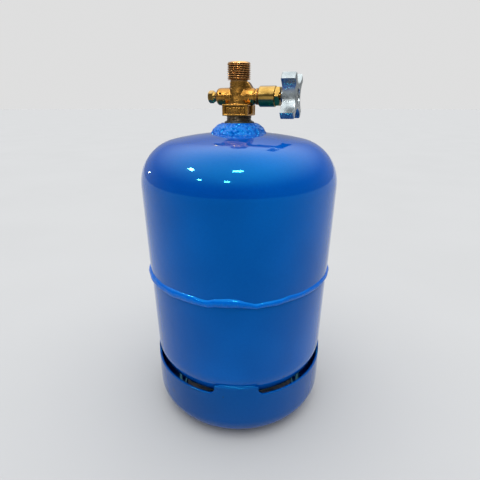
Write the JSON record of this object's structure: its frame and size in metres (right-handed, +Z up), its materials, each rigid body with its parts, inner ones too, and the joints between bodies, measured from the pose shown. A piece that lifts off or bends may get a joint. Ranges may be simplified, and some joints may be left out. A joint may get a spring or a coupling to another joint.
{
  "type": "refillable gas cylinder with valve",
  "caption": "Small blue refillable propane cylinder for a caravan: domed steel body with a girth weld, slotted foot ring and a brass handwheel valve with a threaded top outlet.",
  "frame": {"origin": "centre of the foot ring's bottom land, on the floor", "axes": "+Z up along the cylinder's axis; the valve's spindle and handwheel point to +X, the bleed screw to -X; the lap of the girth weld is on the -Y side"},
  "size_m": [0.2088, 0.2088, 0.3818],
  "materials": {
    "enamel": "gloss blue enamel over steel sheet",
    "brass_forged": "hot-forged brass, as cast skin with machined ends",
    "brass_turned": "turned brass",
    "copper": "soft copper ring",
    "sealant": "dark set thread sealant",
    "packing": "white packing",
    "nylon": "natural nylon",
    "seal_rubber": "black nitrile",
    "zinc": "die-cast, tumbled satin",
    "plated_steel": "zinc plated"
  },
  "bodies": {
    "tank": {"upper_shell": "enamel", "lower_shell": "enamel", "seam_weld": "enamel", "foot_ring": "enamel", "foot_ring_welds": "enamel", "neck_boss": "enamel", "neck_weld": "enamel", "valve_body": "brass_forged", "thread_sealant": "sealant", "ullage_tube": "brass_turned", "bonnet": "brass_turned", "bonnet_seal": "copper", "gland_packing": "packing", "gland_washer": "brass_turned", "gland_nut": "brass_turned"},
    "handwheel": {"handwheel": "zinc", "handwheel_washer": "plated_steel", "handwheel_screw": "plated_steel", "spindle": "brass_turned", "spindle_oring": "seal_rubber"},
    "plug": {"shutoff_plug": "brass_turned", "seat_disc": "nylon"},
    "bleed_seal": {"bleed_oring": "seal_rubber"},
    "bleed_screw": {"bleed_screw": "brass_turned"}
  },
  "joints": [
    {"name": "handwheel_turn", "type": "hinge", "parent": "tank", "child": "handwheel", "pos_m": [0.04, 0, 0.3527], "axis": [1, 0, 0], "range_deg": [0, 600]},
    {"name": "plug_travel", "type": "slide", "parent": "handwheel", "child": "plug", "axis": [1, 0, 0], "range_m": [0, 0.00252]},
    {"name": "bleed_travel", "type": "slide", "parent": "tank", "child": "bleed_seal", "axis": [-1, 0, 0], "range_m": [0, 0.0028]},
    {"name": "bleed_turn", "type": "hinge", "parent": "bleed_seal", "child": "bleed_screw", "pos_m": [-0.025, 0, 0.3527], "axis": [-1, 0, 0], "range_deg": [0, 1000]}
  ],
  "couplings": [
    {"joint": "plug_travel", "follows": "handwheel_turn", "m_per_rad": 0.00023873},
    {"joint": "bleed_travel", "follows": "bleed_turn", "m_per_rad": 0.00015915}
  ]
}
